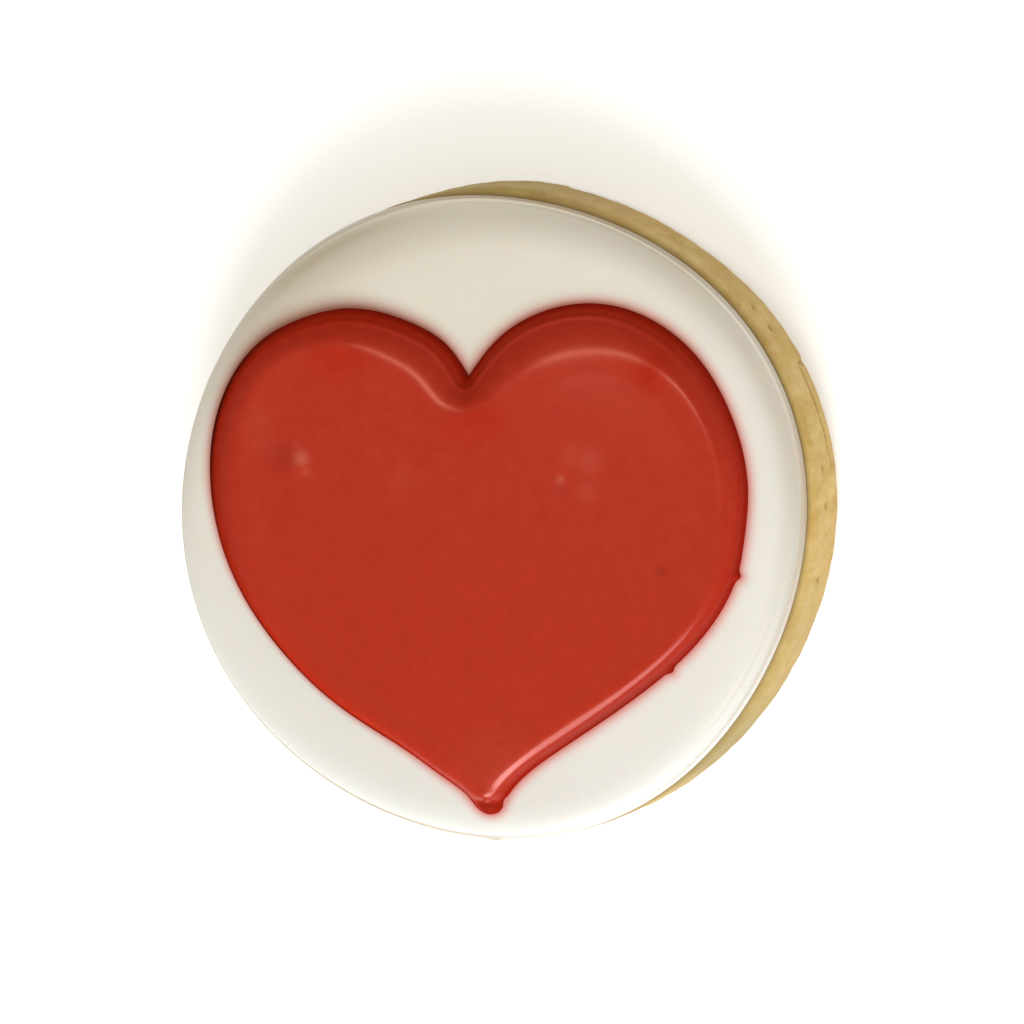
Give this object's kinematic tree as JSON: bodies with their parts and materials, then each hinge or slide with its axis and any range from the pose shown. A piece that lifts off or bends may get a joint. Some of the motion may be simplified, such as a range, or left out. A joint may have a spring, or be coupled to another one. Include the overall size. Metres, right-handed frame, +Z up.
{
  "type": "iced sugar cookie",
  "caption": "Round cut-out sugar cookie with rounded golden edges, a flooded layer of white icing and a raised glossy red icing heart.",
  "frame": {"origin": "middle of the cookie's flat base, on the surface it rests on", "axes": "+Z up through the iced face, -Y towards the heart's tip, +X towards the heart's right lobe seen from above"},
  "size_m": [0.0774, 0.0762, 0.0136],
  "materials": {
    "biscuit": "dry golden-tan baked crumb with fine pores, a little darker at the base",
    "white_icing": "smooth satin cream-white set sugar icing",
    "red_icing": "smooth semi-gloss red set sugar icing"
  },
  "bodies": {
    "root": {"cookie": "biscuit", "white_icing": "white_icing", "red_heart": "red_icing"}
  },
  "joints": []
}
